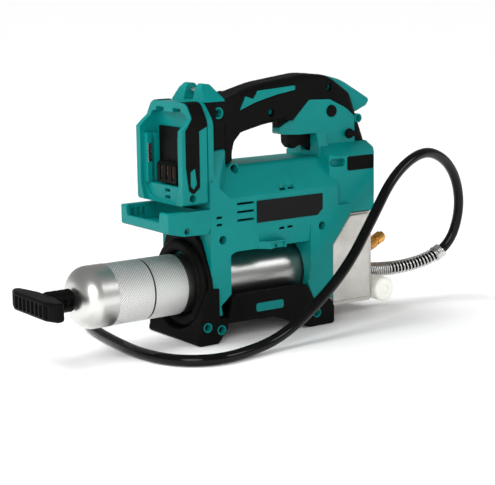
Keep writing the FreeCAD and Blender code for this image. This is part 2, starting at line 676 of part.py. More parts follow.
def speed_selector():
    x, z = selector_place
    stem = rod("y", -19.6, -14.5, 5.0, x, z)
    lever = prism("y", -24, -19.6, [(x - 7, z - 3, 2), (x - 7, z + 3, 2), (x + 7, z + 2.5, 2.4),
                                    (x + 7, z - 2.5, 2.4)])
    return fuse(stem, lever)


# ---------------------------------------------------------------- motor, gears and pump drive

idler_z = motor_z - idler_drop


def gear(teeth, x0, x1, z, first_tooth):
    """Straight-toothed gear; first_tooth is the angle in degrees of one tooth's middle."""
    pitch_r = teeth * gear_module / 2
    pitch_angle = 360.0 / teeth
    profile = [(-0.31, -1.15), (-0.20, 0.0), (-0.11, 0.8), (0.11, 0.8), (0.20, 0.0), (0.31, -1.15)]
    points = []
    for i in range(teeth):
        for across, out in profile:
            angle = math.radians(first_tooth + (i + across) * pitch_angle)
            radius = pitch_r + out * gear_module
            points.append((radius * math.cos(angle), z + radius * math.sin(angle)))
    return prism("x", x0, x1, points)


def motor_shaft():
    return fuse(rod("x", -16, 71, 2.5, 0, motor_z), gear(small_teeth, 63, 71, motor_z, -90))


def motor_core():
    core = ring("x", 8, 50, 18.0, 2.5, 0, motor_z)
    slots = []
    for i in range(12):
        turn = math.radians(i * 30)
        slots.append(rod("x", 7, 51, 1.6, 17.2 * math.cos(turn), motor_z + 17.2 * math.sin(turn)))
    return cut(core, *slots)


def cooling_fan():
    hub = ring("x", -11, -3, 5.0, 2.5, 0, motor_z)
    disc = ring("x", -4, -3, 17.5, 2.5, 0, motor_z)
    blades = []
    for i in range(11):
        blade = box((-11, -4), (-0.6, 0.6), (motor_z + 4.5, motor_z + 17.5))
        blade.rotate(vec(0, 0, motor_z), AXES["x"], i * 360 / 11)
        blades.append(blade)
    return fuse(hub, disc, *blades)


def motor_stator():
    can = ring("x", 2, 56, 23.0, 18.6, 0, motor_z)
    end = ring("x", 56, 58.5, 23.0, 8.0, 0, motor_z)
    return fuse(can, end)


def motor_bearings():
    front = ring("x", 53, 58.4, 8.0, 2.5 + fit, 0, motor_z)
    rear = ring("x", -17, -12, 8.0, 2.5 + fit, 0, motor_z)
    return Part.Compound([front, rear])


def gear_frame():
    """Two plates on pillars that carry the gear shafts."""
    first = box((58.6, 61.6), (-24, 24), (91, 158))
    second = box((87, 93), (-24, 24), (91, 158))
    pillars = [rod("x", 61, 88, 2.5, y, z) for y in (-21.4, 21.4) for z in (95, 155)]
    frame = fuse(first, second, *pillars)
    return cut(frame, rod("x", 50, 62, 7.5, 0, motor_z), rod("x", 50, 100, 3.0 + fit, 0, idler_z),
               rod("x", 80, 100, 5.0 + fit, 0, motor_z))


def idler_gear():
    return fuse(rod("x", 58.8, 92.5, 3.0, 0, idler_z), gear(large_teeth, 63.5, 70.5, idler_z, 94.5),
                gear(small_teeth, 75, 85, idler_z, 90))


def crank_gear():
    wheel = gear(large_teeth, 76, 84, motor_z, -85.5)
    shaft = rod("x", 76, 97, 5.0, 0, motor_z)
    disc = rod("x", 96, 101, 10.0, 0, motor_z)
    pin = rod("x", 101, 110, 3.0, crank_throw, motor_z)
    return fuse(wheel, shaft, disc, pin)


def plunger():
    """Yoke and plunger. The crank pin's slot is tall enough to let each move by itself."""
    slot_z = 2 * crank_throw + 3.5
    slot_y = crank_throw + 3.5
    yoke = box((103, 109), (-slot_y - 4, slot_y + 4), (motor_z - slot_z - 4, motor_z + slot_z + 4))
    yoke = yoke.cut(box((100, 112), (-slot_y, slot_y), (motor_z - slot_z, motor_z + slot_z)))
    arm = box((103, plunger_x + 5), (-6, 6), (119.5, motor_z - slot_z))
    return fuse(yoke, arm, rod("z", 62, 121, plunger_r, plunger_x, 0))


def switch_unit():
    return fuse(box((104.5, 120), (-9, 9), (208, 219)), box((106, 109), (-3, 3), (204.5, 208)))


def pipe(points, radius):
    """Round wire through straight runs with ball corners."""
    shapes = []
    for i in range(len(points) - 1):
        start = vec(*points[i])
        step = vec(*points[i + 1]) - start
        shapes.append(Part.makeCylinder(radius, step.Length, start, step))
    shapes += [Part.makeSphere(radius, vec(*p)) for p in points[1:-1]]
    return fuse(*shapes)


def battery_leads():
    return Part.Compound([pipe([(-34, y, 176), (-20, y, 176), (-20, y, 148), (-26, y, 148)], 1.4)
                          for y in (-6, 6)])


def control_board():
    board = box((-28, -26), (-24, 24), (94, 155))
    parts = [box((-26, -22.5), (y, y + 8), (104, 116)) for y in (-18, -6, 6)]
    return fuse(board, *parts)


def name_plates():
    return Part.Compound([prism("y", *span(side, flank, flank + 0.7),
                                [(17, 112.5), (91, 112.5), (97.5, 118.5), (97.5, 134, 1), (17, 134, 1)])
                          for side in (-1, 1)])


def front_pads():
    return Part.Compound([prism("y", *span(side, column_half, column_half + 0.9),
                                [(132, 153, 2), (132, 167.3, 2), (165.5, 167.3, 2), (165.5, 153, 2)])
                          for side in (-1, 1)])


# ---------------------------------------------------------------- hose and what is on it

hose_route = [(181, 0, outlet_z), (213, -2, 34.5), (260, -8, 37.5), (296, -14, 53), (305, -21, 92),
              (292, -29, 130), (264, -38, 156), (225, -48, 167), (179, -57, 147), (141, -68, 106),
              (100, -79, 63), (46, -90, 29), (2, -96, 9), (-45, -107, 5.25), (-82, -110, 5.25),
              (-111, -88, 5.25), (-121, -45, 5.25), (-117, 4, 5.25), (-111, 50, 5.25),
              (-100, 93, 5.25), (-70, 122, 5.25), (-28, 134, 5.25), (22, 127, 5.25),
              (68, 111, 5.25), (110, 98, 6.6), (151, 96, 8.3)]
hose_r = 5.25
guard_runs = 3          # runs of the route that the spring guard covers
arc_share = 0.45


def route_edges(points):
    """Straight runs joined by tangent arcs, as large as the shorter run allows."""
    corners = [vec(*p) for p in points]
    edges = []
    at = corners[0]
    for i in range(1, len(corners) - 1):
        back = corners[i - 1] - corners[i]
        ahead = corners[i + 1] - corners[i]
        reach = arc_share * min(back.Length, ahead.Length)
        back.normalize()
        ahead.normalize()
        half = back.getAngle(ahead) / 2
        radius = reach * math.tan(half)
        middle = (back + ahead).normalize()
        start = corners[i] + back * reach
        end = corners[i] + ahead * reach
        nearest = corners[i] + middle * (radius / math.sin(half) - radius)
        edges.append(Part.LineSegment(at, start).toShape())
        edges.append(Part.Arc(start, nearest, end).toShape())
        print("hose corner", i, "turn", round(180 - 2 * math.degrees(half)), "radius", round(radius, 1))
        at = end
    edges.append(Part.LineSegment(at, corners[-1]).toShape())
    return edges


def tube(edges, radius):
    path = Part.Wire(edges)
    start = edges[0].Vertexes[0].Point
    heading = edges[0].tangentAt(edges[0].FirstParameter)
    ring_wire = Part.Wire(Part.makeCircle(radius, start, heading))
    return path.makePipeShell([ring_wire], True, False)


def hose_pieces():
    edges = route_edges(hose_route)
    length = sum(e.Length for e in edges)
    hose = tube(edges, hose_r)
    expected = math.pi * hose_r ** 2 * length
    print("hose length", round(length), "volume ratio", round(hose.Volume / expected, 4))
    guarded = edges[:2 * guard_runs - 1]
    guard = tube(guarded, hose_r + 2.4).cut(tube(guarded, hose_r + 0.4))
    last = guarded[-1]
    end = last.Vertexes[-1].Point
    heading = last.tangentAt(last.LastParameter)
    ferrule = Part.makeCylinder(hose_r + 3.0, 10, end, heading)
    ferrule = ferrule.cut(Part.makeCylinder(hose_r + 1.3, 12, end - heading, heading))
    ends = fuse(outlet_fitting(), grease_coupler())
    return hose.cut(ends), guard.cut(ends), ferrule


def grease_coupler():
    """Jaw coupler on the hose's free end, lying on the floor behind the tool."""
    x, y, z = hose_route[-1]
    nose = Part.makeCone(7.6, 5.6, 8, vec(x + 28, y, z), AXES["x"])
    body = fuse(rod("x", x, x + 8, 6.0, y, z), hexagon(x + 8, x + 16, 14.0, y, z),
                rod("x", x + 16, x + 28, 7.6, y, z), nose)
    return cut(body, rod("x", x + 26, x + 40, 3.4, y, z), rod("x", x + 4, x + 30, 1.5, y, z))


# ---------------------------------------------------------------- writing the pieces

def main():
    os.makedirs("parts", exist_ok=True)
    right, left = housing()
    hard = housing_outer()
    cover = handle_rubber(hard)
    inlays = grip_inlays(cover)
    ball, ball_spring = check_valve()
    hose, guard, ferrule = hose_pieces()
    pieces = {
        "housing_right": right,
        "housing_left": left,
        "grip_cover": cover.cut(inlays),
        "grip_inlays": inlays,
        "battery_frame": battery_frame(),
        "battery_frame_pads": Part.Compound(both_sides(lambda side: frame_pad(side, 0.6))),
        "battery_guard": battery_guard(),
        "terminal_block": terminal_block(),
        "terminal_blades": terminal_blades(),
        "rail_clips": rail_clips(),
        "strap_pin": rod("y", -14, 14, 2.5, *strap_place),
        "rear_foot": rear_foot(hard),
        "collar_ring": collar_ring(),
        "base_cradle": base_cradle(hard),
        "base_badges": Part.Compound(both_sides(lambda side: base_badge(side, 0.2))),
        "foot_bosses": foot_bosses(),
        "housing_screws": housing_screws(),
        "pump_head": pump_head(),
        "name_plates": name_plates(),
        "front_pads": front_pads(),
        "motor_stator": motor_stator(),
        "motor_bearings": motor_bearings(),
        "gear_frame": gear_frame(),
        "switch_unit": switch_unit(),
        "control_board": control_board(),
        "battery_leads": battery_leads(),
        "outlet_fitting": outlet_fitting(),
        "check_ball": ball,
        "check_spring": ball_spring,
        "filler_port": filler_port(),
        "trigger_pin": trigger_pin(),
        "trigger": trigger(),
        "lock_button": lock_button(),
        "speed_selector": speed_selector(),
        "bleeder_valve": bleeder_valve(),
        "port_cap": port_cap(),
        "barrel_tube": barrel_tube(),
        "end_cap": end_cap(),
        "follower_rod": follower_rod(),
        "tee_handle": tee_handle(),
        "follower_plate": follower_plate(),
        "follower_seal": follower_seal(),
        "follower_spring": coil(-122, 50, 14, 20, 2.4, 0, barrel_z),
        "motor_shaft": motor_shaft(),
        "motor_core": motor_core(),
        "cooling_fan": cooling_fan(),
        "idler_gear": idler_gear(),
        "crank_gear": crank_gear(),
        "plunger": plunger(),
        "hose": hose,
        "spring_guard": guard,
        "hose_ferrule": ferrule,
        "grease_coupler": grease_coupler(),
    }
    for name, shape in pieces.items():
        export(name, shape)


main()
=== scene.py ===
import bpy
import bmesh
import json
import math
from mathutils import Matrix, Vector


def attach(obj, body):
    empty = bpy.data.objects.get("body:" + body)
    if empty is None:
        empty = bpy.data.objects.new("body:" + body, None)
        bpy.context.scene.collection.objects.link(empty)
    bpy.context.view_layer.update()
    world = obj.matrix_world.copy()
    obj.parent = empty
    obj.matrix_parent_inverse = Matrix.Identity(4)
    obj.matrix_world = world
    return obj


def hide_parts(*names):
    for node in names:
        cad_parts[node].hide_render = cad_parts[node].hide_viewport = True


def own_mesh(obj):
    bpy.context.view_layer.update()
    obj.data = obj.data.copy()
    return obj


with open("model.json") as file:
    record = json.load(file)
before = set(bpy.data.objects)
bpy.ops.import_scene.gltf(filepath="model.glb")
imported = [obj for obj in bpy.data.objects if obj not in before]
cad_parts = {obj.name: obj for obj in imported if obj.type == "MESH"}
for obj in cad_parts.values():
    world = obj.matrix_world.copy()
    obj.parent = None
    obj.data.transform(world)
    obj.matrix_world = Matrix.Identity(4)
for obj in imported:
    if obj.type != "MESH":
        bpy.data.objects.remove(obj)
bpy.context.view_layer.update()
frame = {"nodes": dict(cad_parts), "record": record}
nodes = frame["nodes"]
print("frame loaded:", len(nodes), "nodes")

# ---- camera, floor and light

camera = {"place": (-0.815, -1.210, 0.357), "yaw": 0.6128, "pitch": -0.1820, "roll": -0.0133, "lens": 109.1}
studio = {
    "floorSize": 60.0,
    "floorDrop": 0.0003,  # keeps the floor just under the feet
    "floorColour": (0.98, 0.98, 0.98, 1),
    "sun": {"from": (-0.5, 0.45, 1.0), "strength": 3.2, "spread": 0.9},
    "front": {"place": (-1.6, -1.7, 1.1), "size": 1.8, "power": 38},
    "right": {"place": (1.4, -1.4, 1.2), "size": 0.7, "power": 7},
    "target": (0.02, 0, 0.10),
}


def aim(obj, target):
    toTarget = Vector(target) - obj.location
    obj.rotation_mode = "QUATERNION"
    obj.rotation_quaternion = toTarget.to_track_quat("-Z", "Y")


def makeCamera():
    yaw, pitch, roll = camera["yaw"], camera["pitch"], camera["roll"]
    forward = Vector((math.sin(yaw) * math.cos(pitch), math.cos(yaw) * math.cos(pitch), math.sin(pitch)))
    level = Vector((math.cos(yaw), -math.sin(yaw), 0))
    upright = level.cross(forward)
    right = level * math.cos(roll) + upright * math.sin(roll)
    up = upright * math.cos(roll) - level * math.sin(roll)
    data = bpy.data.cameras.new("camera")
    data.lens = camera["lens"]
    data.sensor_width = 36
    obj = bpy.data.objects.new("camera", data)
    bpy.context.collection.objects.link(obj)
    turn = Matrix((right, up, -forward)).transposed()
    obj.matrix_world = Matrix.Translation(camera["place"]) @ turn.to_4x4()
    bpy.context.scene.camera = obj


def makeLight(name, place, size, power):
    data = bpy.data.lights.new(name, "AREA")
    data.shape = "DISK"
    data.size = size
    data.energy = power
    obj = bpy.data.objects.new(name, data)
    bpy.context.collection.objects.link(obj)
    obj.location = place
    aim(obj, studio["target"])


def makeSun():
    data = bpy.data.lights.new("sunLight", "SUN")
    data.energy = studio["sun"]["strength"]
    data.angle = studio["sun"]["spread"]
    obj = bpy.data.objects.new("sunLight", data)
    bpy.context.collection.objects.link(obj)
    obj.location = studio["sun"]["from"]
    obj.visible_glossy = False
    aim(obj, (0, 0, 0))


makeCamera()
makeSun()
for name in ("front", "right"):
    makeLight(name + "Light", **studio[name])
print("camera and lights made")


# ---- shader building


class Wire:
    # one output socket; arithmetic on it adds Math nodes
    def __init__(self, paint, socket):
        self.paint = paint
        self.socket = socket

    def maths(self, operation, other=None, swapped=False):
        pair = (other, self) if swapped else (self, other)
        return self.paint.add("ShaderNodeMath", {"operation": operation}, {0: pair[0], 1: pair[1]})

    def __add__(self, other):
        return self.maths("ADD", other)

    def __radd__(self, other):
        return self.maths("ADD", other, True)

    def __sub__(self, other):
        return self.maths("SUBTRACT", other)

    def __rsub__(self, other):
        return self.maths("SUBTRACT", other, True)

    def __mul__(self, other):
        return self.maths("MULTIPLY", other)

    def __rmul__(self, other):
        return self.maths("MULTIPLY", other, True)


class Paint:
    # one material and the nodes in it
    def __init__(self, name):
        self.material = bpy.data.materials.new(name)
        self.material.use_nodes = True
        self.tree = self.material.node_tree
        self.tree.nodes.clear()

    def add(self, kind, settings=None, sockets=None, out=0):
        node = self.tree.nodes.new(kind)
        for key, value in (settings or {}).items():
            if key == "stops":
                for spot, (position, colour) in zip(node.color_ramp.elements, value):
                    spot.position = position
                    spot.color = colour
            else:
                setattr(node, key, value)
        for key, value in (sockets or {}).items():
            if isinstance(value, Wire):
                self.tree.links.new(value.socket, node.inputs[key])
            elif value is not None:
                node.inputs[key].default_value = value
        return Wire(self, node.outputs[out]) if node.outputs else None

    def place(self):
        return self.add("ShaderNodeTexCoord", out="Object")

    def split(self, vector):
        parts = self.add("ShaderNodeSeparateXYZ", None, {0: vector})
        outputs = parts.socket.node.outputs
        return [Wire(self, outputs[i]) for i in range(3)]

    def join(self, x, y, z):
        return self.add("ShaderNodeCombineXYZ", None, {0: x, 1: y, 2: z})

    def noise(self, place, scale, detail=2.0, rough=0.5):
        return self.add("ShaderNodeTexNoise", None,
                        {"Vector": place, "Scale": scale, "Detail": detail, "Roughness": rough})

    def ramp(self, value, low, high):
        stops = [(low, (0, 0, 0, 1)), (high, (1, 1, 1, 1))]
        return self.add("ShaderNodeValToRGB", {"stops": stops}, {0: value})

    def mix(self, factor, first, second):
        return self.add("ShaderNodeMix", {"data_type": "RGBA"}, {0: factor, 6: first, 7: second}, out=2)

    def softEdge(self, radius):
        return self.add("ShaderNodeBevel", {"samples": 4}, {"Radius": radius})

    def bump(self, height, distance, normal=None, strength=1.0):
        return self.add("ShaderNodeBump", None,
                        {"Strength": strength, "Distance": distance, "Height": height, "Normal": normal})

    def finish(self, varying, fixed):
        # varying sockets take wires, fixed ones plain numbers
        shader = self.add("ShaderNodeBsdfPrincipled", None, {**fixed, **varying})
        self.add("ShaderNodeOutputMaterial", None, {"Surface": shader})
        return self.material


def solid(red, green, blue):
    return (red, green, blue, 1)


# ---- finishes

teal = {
    "colour": solid(0.001, 0.208, 0.196), "shade": solid(0.001, 0.176, 0.166), "roughness": 0.36,
    "edge": 0.0009, "grain": 1500, "depth": 0.00004, "coat": 0.0, "gloss": 0.13,
}
blackNylon = {
    "colour": solid(0.0025, 0.0025, 0.0025), "shade": solid(0.004, 0.0038, 0.0036), "roughness": 0.42,
    "edge": 0.0007, "grain": 1700, "depth": 0.00005, "coat": 0.0, "gloss": 0.05,
}
softRubber = {
    "colour": solid(0.0025, 0.0024, 0.0022), "shade": solid(0.0045, 0.0042, 0.004), "roughness": 0.52,
    "edge": 0.0012, "grain": 2300, "depth": 0.00007, "coat": 0.0, "gloss": 0.05,
}
glossPlate = {
    "colour": solid(0.004, 0.004, 0.0045), "shade": solid(0.007, 0.007, 0.0075), "roughness": 0.24,
    "edge": 0.0003, "grain": 900, "depth": 0.00001, "coat": 0.02, "gloss": 0.08,
}
ivory = {
    "colour": solid(0.99, 0.99, 0.93), "shade": solid(0.97, 0.965, 0.89), "roughness": 0.42,
    "edge": 0.0012, "grain": 1200, "depth": 0.00003, "coat": 0.0, "gloss": 0.4,
}
paleMoulding = {
    "colour": solid(0.55, 0.56, 0.53), "shade": solid(0.45, 0.46, 0.44), "roughness": 0.45,
    "edge": 0.0004, "grain": 1200, "depth": 0.00003, "coat": 0.0, "gloss": 0.4,
}
boardGreen = {
    "colour": solid(0.01, 0.12, 0.04), "shade": solid(0.008, 0.08, 0.03), "roughness": 0.35,
    "edge": 0.0003, "grain": 600, "depth": 0.00004, "coat": 0.3, "gloss": 0.5,
}
wireRed = {
    "colour": solid(0.40, 0.02, 0.01), "shade": solid(0.30, 0.015, 0.01), "roughness": 0.35,
    "edge": 0.0002, "grain": 900, "depth": 0.00002, "coat": 0.1, "gloss": 0.5,
}


def moulded(name, look):
    # fine spark texture, slow drift in colour and gloss, edges rounded in the shading normal
    paint = Paint(name)
    place = paint.place()
    drift = paint.noise(place, 14.0, 3.0)
    fine = paint.noise(place, look["grain"], 3.0, 0.6)
    colour = paint.mix(paint.ramp(drift, 0.35, 0.70), look["colour"], look["shade"])
    rough = look["roughness"] + (drift - 0.5) * 0.16 + (fine - 0.5) * 0.12
    normal = paint.bump(fine, look["depth"], paint.softEdge(look["edge"]))
    fixed = {"Coat Weight": look["coat"], "Coat Roughness": 0.1, "Specular IOR Level": look["gloss"]}
    return paint.finish({"Base Color": colour, "Roughness": rough, "Normal": normal}, fixed)


castMetal = {"colour": solid(0.60, 0.585, 0.55), "shade": solid(0.50, 0.485, 0.455), "roughness": 0.46,
             "edge": 0.0010, "grain": 1600, "depth": 0.00010}
zincSteel = {"colour": solid(0.70, 0.70, 0.69), "shade": solid(0.56, 0.56, 0.55), "roughness": 0.26,
             "edge": 0.0004, "grain": 900, "depth": 0.00003}
darkSteel = {"colour": solid(0.030, 0.030, 0.032), "shade": solid(0.018, 0.018, 0.019), "roughness": 0.38,
             "edge": 0.0003, "grain": 1500, "depth": 0.00003}
groundSteel = {"colour": solid(0.50, 0.50, 0.51), "shade": solid(0.40, 0.40, 0.41), "roughness": 0.24,
               "edge": 0.0003, "grain": 2200, "depth": 0.00002}
turnedBrass = {"colour": solid(0.76, 0.40, 0.10), "shade": solid(0.62, 0.30, 0.07), "roughness": 0.24,
               "edge": 0.0003, "grain": 1100, "depth": 0.00003}
copperIron = {"colour": solid(0.45, 0.20, 0.09), "shade": solid(0.16, 0.14, 0.13), "roughness": 0.40,
              "edge": 0.0004, "grain": 500, "depth": 0.00008}


def bareMetal(name, look):
    # blasted or plated metal with slow changes in tone and a fine tooth
    paint = Paint(name)
    place = paint.place()
    cloud = paint.noise(place, 38.0, 4.0, 0.6)
    fine = paint.noise(place, look["grain"], 2.0)
    colour = paint.mix(paint.ramp(cloud, 0.35, 0.68), look["colour"], look["shade"])
    rough = look["roughness"] + (cloud - 0.5) * 0.20 + (fine - 0.5) * 0.10
    normal = paint.bump(fine, look["depth"], paint.softEdge(look["edge"]))
    return paint.finish({"Base Color": colour, "Roughness": rough, "Normal": normal}, {"Metallic": 1.0})


barrel = {
    "axisHeight": 0.054, "sleeveFrom": 0.0291, "sleeveEnd": -0.0545, "sleeveStart": -0.1302,
    "colour": solid(0.74, 0.74, 0.71), "sleeveColour": solid(0.985, 0.985, 0.97), "roughness": 0.33,
    "sleeveRoughness": 0.50, "teeth": 66, "toothDepth": 0.00045, "edge": 0.0008,
    # the gap colour is painted shade: near-black on the tube in the gap between the two sleeves
    # the knurl groove colour is painted shade: the grooves between the diamond crests are painted darker
    # than the crests
    "knurlGrooveShade": solid(0.58, 0.58, 0.57), "gap": (-0.0926, -0.0898), "sleeveGapShade": solid(0.06, 0.06, 0.06),
    # the neck colour is painted shade: the tube forward of the sleeve end, by the collar, is painted darker
    "neckFrom": -0.0536, "neckPaintedShade": solid(0.40, 0.40, 0.39),
}


def polishedSteel(name):
    # bright tube with a fine turned finish; the sleeve on it carries a diamond knurl
    paint = Paint(name)
    x, y, z = paint.split(paint.place())
    up = z - barrel["axisHeight"]
    angle = y.maths("ARCTAN2", up)
    radius = (y * y + up * up).maths("SQRT")
    onSleeve = radius.maths("GREATER_THAN", barrel["sleeveFrom"]) * x.maths("LESS_THAN", barrel["sleeveEnd"])
    onSleeve = onSleeve * x.maths("GREATER_THAN", barrel["sleeveStart"])
    along = x * (barrel["teeth"] / 0.0296)
    around = angle * barrel["teeth"]
    crossed = (along + around).maths("SINE") * 0.34 + (along - around).maths("SINE") * 0.66
    turned = paint.noise(paint.join(x * 60.0, angle * 0.25, radius), 30.0, 3.0, 0.6)
    tooth = paint.ramp(crossed * 0.5 + 0.5, 0.15, 0.50)
    # painted shade: the knurl grooves take the darker groove colour, the crests the bright sleeve colour
    knurl = paint.mix(tooth, barrel["knurlGrooveShade"], barrel["sleeveColour"])
    inGap = x.maths("GREATER_THAN", barrel["gap"][0]) * x.maths("LESS_THAN", barrel["gap"][1])
    # painted shade: the tube forward of the sleeve end is painted darker than the rest of the tube
    plain = paint.mix(x.maths("GREATER_THAN", barrel["neckFrom"]), barrel["colour"], barrel["neckPaintedShade"])
    # painted shade: the gap between the two sleeves is painted near-black
    plain = paint.mix(inGap, plain, barrel["sleeveGapShade"])
    colour = paint.mix(onSleeve, plain, knurl)
    duller = barrel["sleeveRoughness"] - barrel["roughness"]
    rough = barrel["roughness"] + (turned - 0.5) * 0.08 + onSleeve * duller
    height = crossed * onSleeve + turned * 0.01
    normal = paint.bump(height, barrel["toothDepth"], paint.softEdge(barrel["edge"]))
    return paint.finish({"Base Color": colour, "Roughness": rough, "Normal": normal}, {"Metallic": 1.0})


hoseLook = {
    "colour": solid(0.002, 0.002, 0.002), "worn": solid(0.005, 0.0048, 0.0045), "roughness": 0.12,
    "coat": 0.03, "gloss": 0.15, "depth": 0.00012,
}


def glossHose(name):
    paint = Paint(name)
    place = paint.place()
    slow = paint.noise(place, 22.0, 4.0, 0.6)
    fine = paint.noise(place, 700.0, 3.0, 0.6)
    colour = paint.mix(paint.ramp(slow, 0.45, 0.75), hoseLook["colour"], hoseLook["worn"])
    rough = hoseLook["roughness"] + (slow - 0.4) * 0.22 + (fine - 0.5) * 0.08
    normal = paint.bump(slow * 1.5 + fine * 0.2, hoseLook["depth"])
    fixed = {"Coat Weight": hoseLook["coat"], "Specular IOR Level": hoseLook["gloss"]}
    return paint.finish({"Base Color": colour, "Roughness": rough, "Normal": normal}, fixed)


def floorPaint():
    paint = Paint("floorPaint")
    cloud = paint.noise(paint.place(), 1.5, 3.0)
    pale = studio["floorColour"]
    colour = paint.mix(cloud, pale, solid(pale[0] - 0.01, pale[1] - 0.01, pale[2] - 0.008))
    return paint.finish({"Base Color": colour, "Roughness": 0.55 + cloud * 0.1}, {"Specular IOR Level": 0.2})


finishes = {
    "teal_plastic": moulded("tealPlastic", teal),
    "black_rubber": moulded("softRubber", softRubber),
    "black_plastic": moulded("blackNylon", blackNylon),
    "gloss_black": moulded("glossPlate", glossPlate),
    "ivory_plastic": moulded("ivoryPlastic", ivory),
    "pale_plastic": moulded("paleMoulding", paleMoulding),
    "board_green": moulded("boardGreen", boardGreen),
    "orange_wire": moulded("wireSleeve", wireRed),
    "cast_head": bareMetal("castMetal", castMetal),
    "zinc_steel": bareMetal("zincSteel", zincSteel),
    "spring_steel": bareMetal("springSteel", zincSteel),
    "hard_steel": bareMetal("groundSteel", groundSteel),
    "dark_steel": bareMetal("darkSteel", darkSteel),
    "brass": bareMetal("turnedBrass", turnedBrass),
    "copper_windings": bareMetal("copperIron", copperIron),
    "chrome_tube": polishedSteel("polishedSteel"),
    "hose_rubber": glossHose("glossHose"),
}
print("finishes made:", len(finishes))

slotOf = {part["node"]: part["material_slot"] for part in frame["record"]["subparts"]}
bodyOf = {node: body for body, held in frame["record"]["behaviour"]["bodies"].items() for node in held}

for name, obj in nodes.items():
    for slot in obj.material_slots:
        slot.material = finishes[slotOf[name]]


def makeFloor():
    half = studio["floorSize"] / 2
    mesh = bpy.data.meshes.new("floor")
    corners = [(-half, -half, 0), (half, -half, 0), (half, half, 0), (-half, half, 0)]
    mesh.from_pydata(corners, [], [(0, 1, 2, 3)])
    obj = bpy.data.objects.new("floor", mesh)
    bpy.context.collection.objects.link(obj)
    obj.location.z = -studio["floorDrop"]
    mesh.materials.append(floorPaint())


def makeWorld():
    world = bpy.data.worlds.new("studio")
    world.use_nodes = True
    tree = world.node_tree
    tree.nodes.clear()
    direction = tree.nodes.new("ShaderNodeTexCoord")
    parts = tree.nodes.new("ShaderNodeSeparateXYZ")
    ramp = tree.nodes.new("ShaderNodeValToRGB")
    light = tree.nodes.new("ShaderNodeBackground")
    output = tree.nodes.new("ShaderNodeOutputWorld")
    stops = [(0.0, 0.90), (0.03, 0.50), (0.25, 0.30), (0.60, 0.24), (1.0, 0.26)]
    ramp.color_ramp.elements[0].position = stops[0][0]
    ramp.color_ramp.elements[0].color = (stops[0][1],) * 3 + (1,)
    ramp.color_ramp.elements[1].position = stops[-1][0]
    ramp.color_ramp.elements[1].color = (stops[-1][1],) * 3 + (1,)
    for position, grey in stops[1:-1]:
        ramp.color_ramp.elements.new(position).color = (grey, grey, grey, 1)
    light.inputs["Strength"].default_value = 1.0
    tree.links.new(direction.outputs["Generated"], parts.inputs[0])
    tree.links.new(parts.outputs["Z"], ramp.inputs[0])
    tree.links.new(ramp.outputs[0], light.inputs["Color"])
    tree.links.new(light.outputs[0], output.inputs[0])
    bpy.context.scene.world = world
    bpy.context.scene.view_settings.view_transform = "Standard"


makeFloor()
makeWorld()
print("floor and world made")


# ---- pieces

def adopt(obj, node, replaced=()):
    # a piece rides with its node's body, wears the node's finish and stands for it
    finish = finishes[slotOf[node]]
    if not obj.data.materials:
        obj.data.materials.append(finish)
    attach(obj, bodyOf[node])
    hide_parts(node, *replaced)


def newPiece(name, data):
    obj = bpy.data.objects.new(name, data)
    bpy.context.collection.objects.link(obj)
    return obj


# the hose: control points from its root at the head to its coupler on the floor
hose = {
    "route": [(0.181, 0, 0.039), (0.213, -0.002, 0.0345), (0.260, -0.008, 0.0375), (0.296, -0.014, 0.053),
              (0.305, -0.021, 0.092), (0.292, -0.029, 0.130), (0.264, -0.038, 0.156), (0.225, -0.048, 0.167),
              (0.179, -0.057, 0.147), (0.141, -0.068, 0.106), (0.100, -0.079, 0.063), (0.046, -0.090, 0.029),
              (0.002, -0.096, 0.009), (-0.045, -0.107, 0.00525), (-0.082, -0.110, 0.00525),
              (-0.111, -0.088, 0.00525), (-0.121, -0.045, 0.00525), (-0.117, 0.004, 0.00525),
              (-0.111, 0.050, 0.00525), (-0.100, 0.093, 0.00525), (-0.070, 0.122, 0.00525),
              (-0.028, 0.134, 0.00525), (0.022, 0.127, 0.00525), (0.068, 0.111, 0.00525),
              (0.110, 0.098, 0.0066), (0.151, 0.096, 0.0083)],
    "radius": 0.00525,
    "length": 1.125,
}
guard = {"start": 0.0008, "end": 0.099, "tightEnd": 0.034, "tightPitch": 0.0025, "openPitch": 0.0043,
         "coilRadius": 0.00672, "wireRadius": 0.00088, "steps": 20}
ferrule = {"length": 0.0105, "outer": 0.0080, "lip": 0.0083, "grooves": (0.0042, 0.0066), "sides": 40}


class Line:
    # centre line of the hose, with a frame carried along it
    def __init__(self, curveObject):
        mesh = bpy.data.meshes.new_from_object(curveObject)
        self.points = [vertex.co.copy() for vertex in mesh.vertices]
        self.at = [0.0]
        for before, after in zip(self.points, self.points[1:]):
            self.at.append(self.at[-1] + (after - before).length)
        heading = (self.points[1] - self.points[0]).normalized()
        side = heading.orthogonal().normalized()
        self.headings = [heading]
        self.sides = [side]
        for before, after in zip(self.points[1:], self.points[2:] + [None]):
            following = (after - before).normalized() if after is not None else heading
            side = (heading.rotation_difference(following) @ side).normalized()
            heading = following
            self.headings.append(heading)
            self.sides.append(side)

    def frameAt(self, distance):
        i = 0
        while i < len(self.at) - 2 and self.at[i + 1] < distance:
            i += 1
        share = (distance - self.at[i]) / (self.at[i + 1] - self.at[i])
        place = self.points[i].lerp(self.points[i + 1], share)
        heading = self.headings[i].lerp(self.headings[i + 1], share).normalized()
        side = self.sides[i].lerp(self.sides[i + 1], share)
        side = (side - heading * side.dot(heading)).normalized()
        return place, heading, side

    def ringPoint(self, distance, radius, angle):
        place, heading, side = self.frameAt(distance)
        return place + (side * math.cos(angle) + heading.cross(side) * math.sin(angle)) * radius


